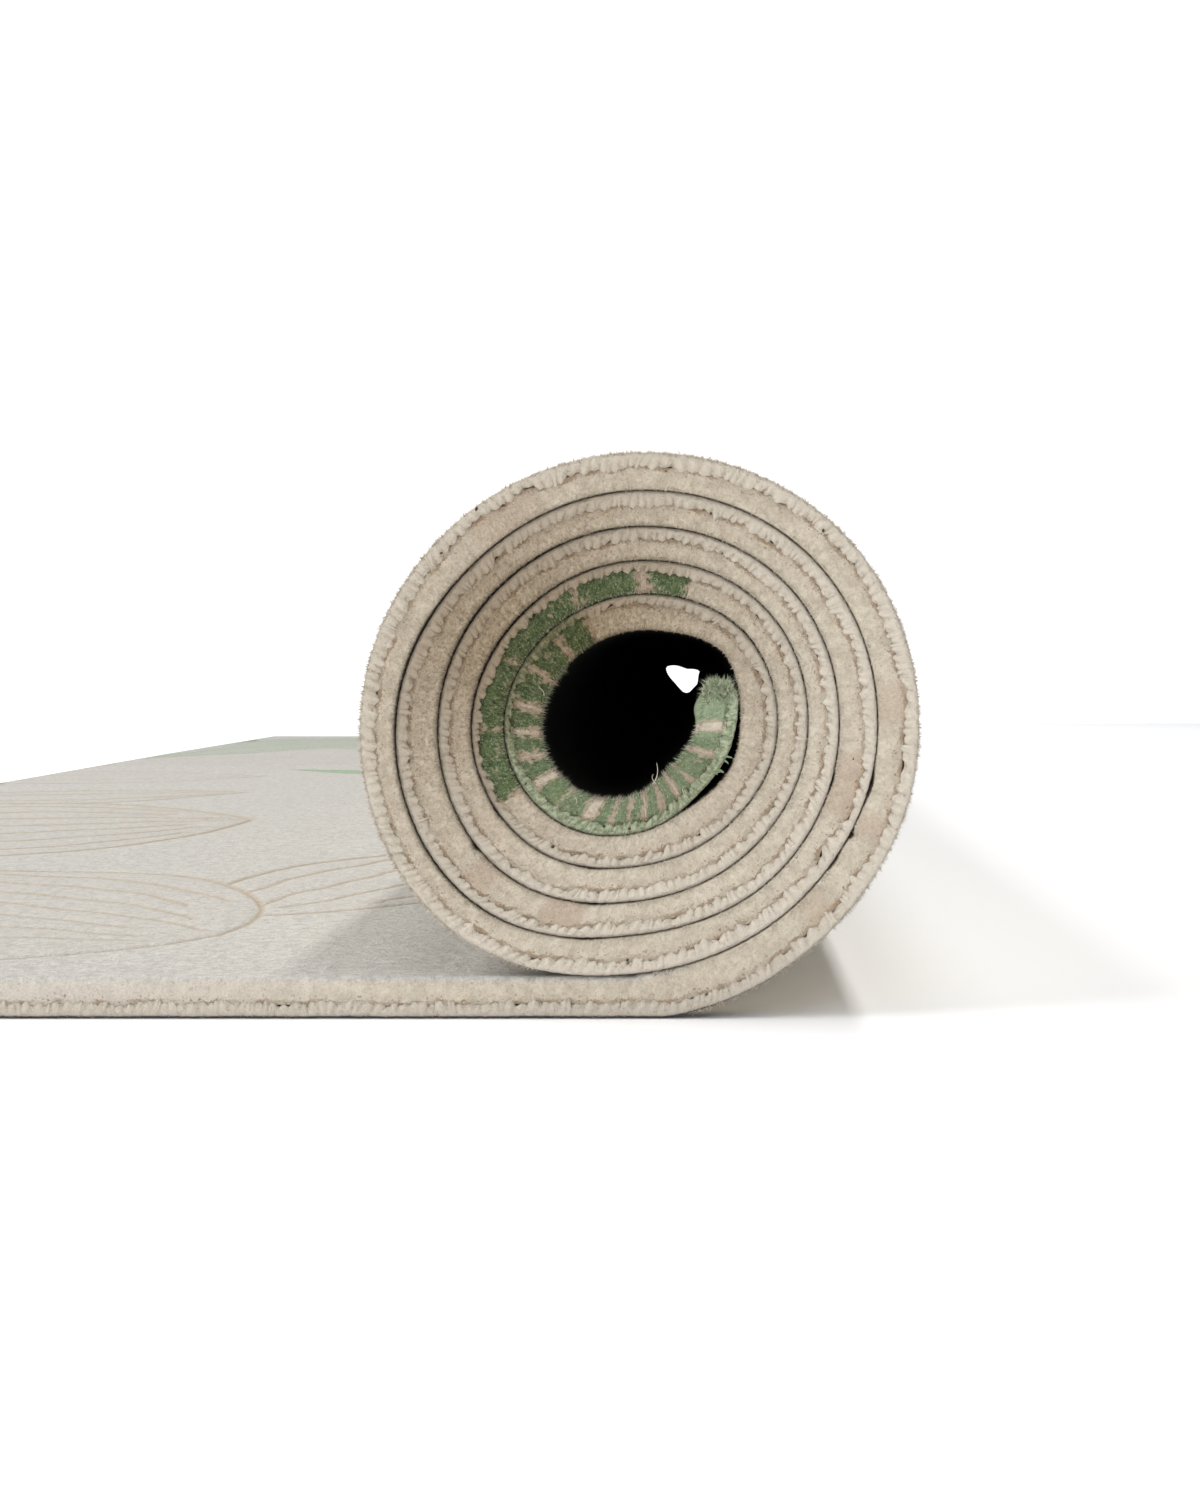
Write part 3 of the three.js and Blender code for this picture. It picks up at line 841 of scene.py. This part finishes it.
# Painted shade: small dark pits on the yarn, mostly on its upper side where it meets the pile
shade_pits = wire.step(0.55, 0.66, wire.noise(laid, 0.0012, roughness=0.7)) * (upper * 0.7 + 0.1)
thread = wire.mix(shade_pits * 0.6, thread, wire.mix(leafy, colour(112, 90, 66), colour(80, 90, 62)))
thread = wire.tint(thread, 0.63 + fluff * 0.3 + nubs * 0.34 + strands * 0.1)
# Painted shade at the upper left of the turns and near the core
thread = pressed(wire, thread)
# Painted shade: yarn on the floor is painted a little darker, against the light bounced up from the floor
thread = wire.mix(on_floor, thread, wire.tint(thread, (0.87, 0.87, 0.87, 1)))
# Painted shade: the yarn is darkened to brown at its edge beside the gaps between the turns, most at the
# upper left
gap_shade = (1 - wire.step(0.0, 0.32, level + (nubs - 0.5) * 0.3)) * (1 - on_floor)
thread = wire.mix(gap_shade * (0.75 - shaded * 0.6), thread, GAP_SHADE_BROWN)
# Painted shadow: the lowest part of the yarn on the floor is painted almost black, the shadow where it
# meets the floor
contact_shadow = (1 - wire.step(0.08, 0.24, level)) * on_floor
wire.mix(contact_shadow * 0.95, thread, colour(38, 36, 44)).into(shader, "Base Color")
wire.bump(fluff, 0.0005, 0.7, wire.bump(nubs, 0.0011, 0.8)).into(shader, "Normal")

EDGINGS = (
    # name, node, runs, side, seed, ply width, steps across a ply
    ("near_overcast_yarn", "near_edging", "long", -1, 31, 1.3, (0.0, 0.2, 0.5, 0.8)),
    ("far_overcast_yarn", "far_edging", "long", 1, 32, 1.5, (0.0, 0.5)),
    ("outer_end_overcast_yarn", "outer_end_edging", "short", -1, 33, 1.5, (0.0, 0.25, 0.75)),
    ("inner_end_overcast_yarn", "inner_end_edging", "short", 1, 34, 1.5, (0.0, 0.25, 0.75)),
)
GREEN_YARN_FROM = (1640, 1652)
OUTER_END_BAND, INNER_END_BAND = 4.2, 3.8
for name, node, runs, side, seed, ply_width, steps in EDGINGS:
    if runs == "long":
        points, faces, fields = overcast(
            RUG_LENGTH, lambda u, inward, height: carry(u, side * (HALF_WIDTH - inward), height),
            yarn_band, lambda u: smooth(0, 50, angle_at(u)), seed, ply_width, steps)
        angles = angle_at(fields["laid"][:, 0] / MM)
        fields["leaf"] = smooth(*GREEN_YARN_FROM, angles)
        # Painted shade: the yarn is painted darker under the leaf tufts, and where the turn outside it
        # hides it
        under_leaf_shade = smooth(1238, 1250, angles) * (1 - smooth(1368, 1388, angles))
        hidden = smooth(1632, 1655, angles) * (1 - smooth(1695, 1740, angles))
        fields["shade"] = painted_shade(angles) * (1 - 0.28 * under_leaf_shade - 0.34 * hidden)
        fields["floor"] = 1 - smooth(0, 70, angles)
    else:
        reach = HALF_WIDTH - EDGE_INSET
        end = 0.0 if side < 0 else RUG_LENGTH
        points, faces, fields = overcast(
            2 * reach, lambda u, inward, height: carry(end - side * inward, u - reach, height),
            lambda u: np.full(np.shape(u), OUTER_END_BAND if side < 0 else INNER_END_BAND),
            lambda u: np.full(np.shape(u), 0.5), seed, ply_width, steps)
        fields["leaf"], fields["shade"] = np.full(len(points), float(side > 0)), np.ones(len(points))
        fields["floor"] = np.full(len(points), float(side < 0))
    if (runs == "long") != (side < 0):
        faces = [face[::-1] for face in faces]
    edging = make_mesh(name, points, faces, fields, [yarn])
    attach(edging, "root")
    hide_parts(node)


# ------------------------------------------------
# Loose wool: short hairs that stand off the edges, a fluffy tuft at the loose end, a few stray
# fibres and curls of yarn, and specks of dark lint that cling to the edge.
SPIKE_CORNERS = (0, 2.094, 4.189)


def hair_mesh(roots, tips, radius):
    """Three-sided spikes from roots to tips, all in metres."""
    heading = unit(tips - roots)
    side = unit(np.cross(heading, [0.31, 0.2, 0.93]))
    other = np.cross(heading, side)
    ring = [roots + radius[:, None] * (np.cos(t) * side + np.sin(t) * other) for t in SPIKE_CORNERS]
    points = np.stack([*ring, tips], 1).reshape(-1, 3)
    base = np.arange(len(roots))[:, None] * 4
    faces = [base + corner for corner in ([0, 2, 1], [0, 1, 3], [1, 2, 3], [2, 0, 3])]
    return points, np.concatenate(faces).tolist()


HAIR_CLEARANCE = 0.0003
rng = np.random.default_rng(71)
hair_batches = []


def sprout(count, along_range, across_root, height_root, reach, girth, edge=-1):
    """Hairs rooted in the edge. Ranges are (low, high); heights are shares of the thickness."""
    u = rng.uniform(*along_range, count)
    thick = thickness_at(u)
    inward, share = rng.uniform(*across_root, count), rng.uniform(*height_root, count)
    root_height = share * thick
    swing, out, up = (rng.uniform(*span, count) for span in reach)
    roots = carry(u, edge * (HALF_WIDTH - inward), root_height)
    tip_along, tip_across = np.minimum(u + swing, RUG_LENGTH - 0.01), edge * (HALF_WIDTH - inward + out)
    tips = carry(tip_along, tip_across, root_height + up)
    fine = (tips[:, 2] > HAIR_CLEARANCE) & (roots[:, 2] > HAIR_CLEARANCE)
    on_green_yarn = smooth(*GREEN_YARN_FROM, angle_at(u)) * (share < 0.35)
    leafy = np.maximum(tuft_mask(u, "leaf", soft=0.5), on_green_yarn)
    # Each hair carries the painted shade of its place in the roll
    batch = roots, tips, rng.uniform(*girth, count) * MM, leafy, painted_shade(angle_at(u))
    hair_batches.append([values[fine] for values in batch])


WHOLE, ROLLED = (1, RUG_LENGTH - 1), (OPEN_LENGTH + 15, OPEN_LENGTH + 470)
ROLLED_TURNS = (OPEN_LENGTH + 5, RUG_LENGTH - 1)
INNER_RIM = (float(np.interp(1665, path_angle, path_along)), RUG_LENGTH - 1)
sprout(7000, ROLLED, (0.2, 7.5), (0.03, 0.1), ((-1.0, 1.0), (-0.4, 0.9), (-1.7, -0.8)), (0.1, 0.18))
sprout(6500, WHOLE, (0.3, 0.7), (0.05, 0.4), ((-0.8, 0.8), (0.5, 1.2), (-0.8, 0.8)), (0.08, 0.16))
sprout(5500, WHOLE, (0.3, 0.7), (0.4, 0.95), ((-0.7, 0.7), (0.4, 1.0), (-0.7, 0.7)), (0.08, 0.15))
sprout(8000, ROLLED_TURNS, (0.15, 1.2), (0.9, 0.97), ((-0.7, 0.7), (-0.2, 0.6), (0.6, 1.3)), (0.11, 0.2))
sprout(1100, INNER_RIM, (0.1, 2.0), (0.9, 0.98), ((-1.2, 1.2), (-0.2, 0.8), (0.9, 2.4)), (0.09, 0.16))
sprout(3000, WHOLE, (0.3, 0.7), (0.05, 0.95), ((-0.8, 0.8), (0.5, 1.2), (-0.8, 0.8)), (0.06, 0.1), edge=1)

# The tuft at the loose end, where the cut pile bursts out over the yarn
end_spot = carry(RUG_LENGTH - 3.0, -HALF_WIDTH, 5.0)
end_heading = unit(end_spot - carry(RUG_LENGTH - 8.0, -HALF_WIDTH, 5.0))
end_up = unit(carry(RUG_LENGTH - 3.0, -HALF_WIDTH, 9.0) - end_spot)
count = 1500
u = RUG_LENGTH - rng.uniform(0.3, 7.0, count)
share = rng.uniform(0.08, 0.95, count)
inward = rng.uniform(0.2, 5.0, count)
roots = carry(u, -HALF_WIDTH + inward, share * thickness_at(u))
lengths = rng.uniform(1.2, 4.0, count)[:, None] * MM
burst = end_heading * rng.uniform(0.2, 1.0, (count, 1)) + end_up * rng.uniform(-0.6, 0.9, (count, 1))
burst = burst + np.array([0, -1, 0]) * rng.uniform(0.0, 0.9, (count, 1))
tips = roots + unit(burst) * lengths
girths = rng.uniform(0.12, 0.24, count) * MM
hair_batches.append([roots, tips, girths, rng.uniform(0.7, 1.0, count), np.ones(count)])
hair_roots, hair_tips, hair_girth, hair_leaf, hair_shade = map(np.concatenate, zip(*hair_batches))
points, faces = hair_mesh(hair_roots, hair_tips, hair_girth)
tone = np.repeat(rng.uniform(0, 1, len(hair_roots)), 4)

fluffed, wire, shader = new_material(
    "loose wool fibre", Roughness=0.95, Sheen_Weight=0.1, Sheen_Roughness=0.6, Specular_IOR_Level=0.1)
brightness = wire.field("tone")
strand = wire.mix(brightness, colour(160, 148, 128), colour(198, 189, 174))
green_strand = wire.mix(brightness, colour(90, 108, 76), colour(178, 188, 158))
# Painted shade at the upper left of the turns and near the core
strand = pressed(wire, wire.mix(wire.field("leaf"), strand, green_strand))
uneven = 0.85 + wire.noise(wire.field("laid", out="Vector"), 0.001) * 0.3
wire.tint(strand, uneven).into(shader, "Base Color")
fuzz = make_mesh("loose_wool_hairs", points, faces, {
    "tone": tone, "leaf": np.repeat(hair_leaf, 4), "shade": np.repeat(hair_shade, 4),
    "laid": points}, [fluffed])
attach(fuzz, "root")

STRAY_FIBRES = (
    # x, height, then the way it goes: sideways, up, out, and its curl, girth, greenness
    (19.6, 92.6, -0.6, 3.6, 2.0, 1.2, 0.09, 0), (18.9, 92.0, 0.3, 2.6, 2.4, -0.8, 0.08, 0),
    (4.0, 66.5, 0.9, 6.6, 3.0, 1.0, 0.1, 0), (5.2, 66.6, -0.5, 3.0, 2.5, -1.0, 0.08, 0),
    (-27.2, 92.0, -1.6, 2.8, 2.4, 0.8, 0.08, 0), (22.0, 94.6, 1.0, 2.2, 2.0, 0.7, 0.09, 0),
    (-18.0, 61.0, -0.8, 2.6, 2.6, 0.8, 0.08, 0), (13.0, 64.0, 0.6, 2.2, 2.4, -0.7, 0.08, 0),
    (-38.0, 140.5, -1.8, 0.8, 2.2, 0.9, 0.09, 0), (60.5, 131.0, 1.8, 1.0, 2.0, 0.7, 0.08, 0),
    (79.0, 88.0, 2.0, 0.6, 1.6, 0.7, 0.08, 0), (12.0, 161.0, 0.4, 2.0, 1.4, -0.8, 0.08, 0),
    (-78.0, 96.0, -2.0, 0.8, 1.8, 0.6, 0.08, 0), (22.6, 70.8, 1.6, -0.8, 0.8, 0.5, 0.3, 1),
    (22.4, 69.6, 1.2, 0.5, 0.9, -0.5, 0.26, 1), (25.0, 74.6, 1.7, -0.3, 0.8, 0.5, 0.22, 1),
    (24.6, 73.4, 0.9, -0.9, 0.7, 0.4, 0.2, 1),
)
LINT = (
    # x, height, size
    (-46.0, 145.3, 0.55), (-38.4, 146.2, 0.5), (-32.3, 66.8, 0.5), (-10.0, 54.6, 0.5),
    (-24.5, 48.8, 0.6), (-2.6, 53.9, 0.45), (52.7, 139.0, 0.45), (20.7, 143.9, 0.4),
    (61.2, 74.0, 0.4), (59.6, 51.4, 0.45), (-3.0, 16.9, 0.45), (8.0, 156.0, 0.4),
    (-56.0, 132.6, 0.35), (-9.0, 8.0, 0.3),
)


def near_face(x, z):
    """How far back the rug's near edge is at a place in the roll's side, in millimetres."""
    away = np.hypot(x, z - ROLL_CENTRE_HEIGHT)
    angle = np.degrees(np.arctan2(x, ROLL_CENTRE_HEIGHT - z)) % 360
    while angle + 360 <= LOOSE_END_ANGLE and back_radius(np.array(angle + 360.0)) >= away:
        angle += 360
    return -HALF_WIDTH + float(look_up(TURN_RECESS, angle))


STRAY_JOINTS = 9
stray_points, stray_faces = [], []
for x, z, sideways, up, out, curl, girth, _ in STRAY_FIBRES:
    root = np.array([x, near_face(x, z) + 0.5, z])
    t = np.linspace(0, 1, STRAY_JOINTS)
    bow = np.sin(t * np.pi * 0.9) * curl
    line = root + np.stack([sideways * t + bow, -out * np.sin(t * 1.4), up * t - 0.3 * bow], -1)
    first = len(stray_points)
    for k, spot in enumerate(line):
        heading = line[min(k + 1, STRAY_JOINTS - 1)] - line[max(k - 1, 0)]
        side = unit(np.cross(heading, [0.2, 1.0, 0.1]))
        other = unit(np.cross(heading, side))
        for turn in SPIKE_CORNERS:
            width = 2 * girth * (1 - 0.7 * k / (STRAY_JOINTS - 1))
            stray_points.append((spot + width * (np.cos(turn) * side + np.sin(turn) * other)) * MM)
        if k:
            a, b = first + 3 * k - 3, first + 3 * k
            stray_faces += [(a + i, a + (i + 1) % 3, b + (i + 1) % 3, b + i) for i in range(3)]
    stray_faces += [(first + 2, first + 1, first), (b, b + 1, b + 2)]
greenness = np.repeat([fibre[-1] for fibre in STRAY_FIBRES], 3 * STRAY_JOINTS)
stray = make_mesh("stray_wool_fibres", stray_points, stray_faces, {
    "tone": 0.9 - 0.7 * greenness, "leaf": greenness, "shade": np.ones(len(stray_points)),
    "laid": stray_points}, [fluffed])
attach(stray, "root")

LINT_SIDES, LINT_LEVELS = 6, (-0.6, 0.0, 0.6)
lint_points, lint_faces = [], []
for x, z, size in LINT:
    centre = np.array([x, near_face(x, z) - 0.05, z])
    stretch = rng.uniform(0.5, 1.4, 3)
    first = len(lint_points)
    for level in LINT_LEVELS:
        for turn in np.arange(LINT_SIDES) / LINT_SIDES * 2 * np.pi:
            ring = np.sqrt(1 - level**2) * size * rng.uniform(0.6, 1.1)
            spot = stretch * (ring * np.cos(turn), level * 0.3, ring * np.sin(turn))
            lint_points.append((centre + spot) * MM)
    for ring_start in (first, first + LINT_SIDES):
        for k in range(LINT_SIDES):
            a, b = ring_start + k, ring_start + (k + 1) % LINT_SIDES
            lint_faces.append((a + LINT_SIDES, b + LINT_SIDES, b, a))
    last = len(lint_points) - 1
    lint_faces += [tuple(range(first, first + LINT_SIDES)), tuple(range(last, last - LINT_SIDES, -1))]
dark, wire, shader = new_material("dark lint", Roughness=0.95, Specular_IOR_Level=0.1)
fleck = wire.noise(wire.field("laid", out="Vector"), 0.0006)
wire.mix(fleck, colour(38, 32, 30), colour(92, 80, 66)).into(shader, "Base Color")
lint = make_mesh("dark_lint_specks", lint_points, lint_faces, {"laid": lint_points}, [dark])
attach(lint, "root")


# ------------------------------------------------
# The plain pale floor and backdrop, the soft studio light, and the camera that looks along the
# roll from just above its middle.
floor_material, *_ = new_material(
    "pale floor", Base_Color=(0.95, 0.95, 0.95, 1), Roughness=0.7, Specular_IOR_Level=0.1)
FLOOR_CORNERS = [(-2.6, -3, 0), (2.6, -3, 0), (2.6, 1.7, 0), (-2.6, 1.7, 0)]
floor = make_mesh("floor", FLOOR_CORNERS, [(0, 1, 2, 3)], materials=[floor_material], smooth_faces=False)

STUDIO_LIGHT, BACKDROP_SEEN = (0.12, 0.132, 0.16, 1), (1.3, 1.3, 1.3, 1)
world = bpy.data.worlds.new("studio")
bpy.context.scene.world = world
world.use_nodes = True
backdrop = Wire(world.node_tree)
seen = backdrop.node("LightPath", out="Is Camera Ray")
backdrop.mix(seen, STUDIO_LIGHT, BACKDROP_SEEN).into(world.node_tree.nodes["Background"], "Color")

LIGHTS = (
    # name, place, turned about x and y in degrees, width, length, watts, colour
    ("left overhead strip", (-0.24, -0.9, 2.2), (0, 0), 0.8, 7.4, 27, (1, 0.985, 0.955)),
    ("right overhead strip", (0.56, -0.9, 2.2), (0, 4), 0.2, 7.4, 62, (1, 0.985, 0.95)),
    ("soft window at the left", (-2.5, -0.4, 1.9), (0, -54), 2.4, 3.6, 150, (0.97, 0.985, 1)),
    ("low soft light in front", (0.2, -3.3, 0.2), (87, 0), 2.0, 0.34, 32, (1, 0.985, 0.965)),
)
for name, place, turned, width, height, watts, tint in LIGHTS:
    lamp_data = bpy.data.lights.new(name, "AREA")
    lamp_data.shape, lamp_data.size, lamp_data.size_y = "RECTANGLE", width, height
    lamp_data.energy, lamp_data.color = watts, tint
    lamp = put(name, lamp_data)
    lamp.location = place
    lamp.rotation_euler = (np.radians(turned[0]), np.radians(turned[1]), 0)
bpy.context.scene.view_settings.view_transform = "Standard"

# The camera stands this far from the near edge, and a pixel spans this much there, in metres
CAMERA_DISTANCE = 0.508
PIXEL = 0.0002844
FRAME_HEIGHT, SENSOR_HEIGHT = 1500, 36
camera_data = bpy.data.cameras.new("camera")
camera_data.sensor_fit, camera_data.sensor_height = "VERTICAL", SENSOR_HEIGHT
camera_data.lens = SENSOR_HEIGHT * CAMERA_DISTANCE / PIXEL / FRAME_HEIGHT
camera_data.shift_x, camera_data.shift_y = -100 / FRAME_HEIGHT, -86 / FRAME_HEIGHT
camera_data.clip_start = 0.01
camera = put("camera", camera_data)
camera.location = (0.0176, -HALF_WIDTH * MM - CAMERA_DISTANCE, 0.1011)
camera.rotation_euler = (np.pi / 2, 0, 0)
bpy.context.scene.camera = camera
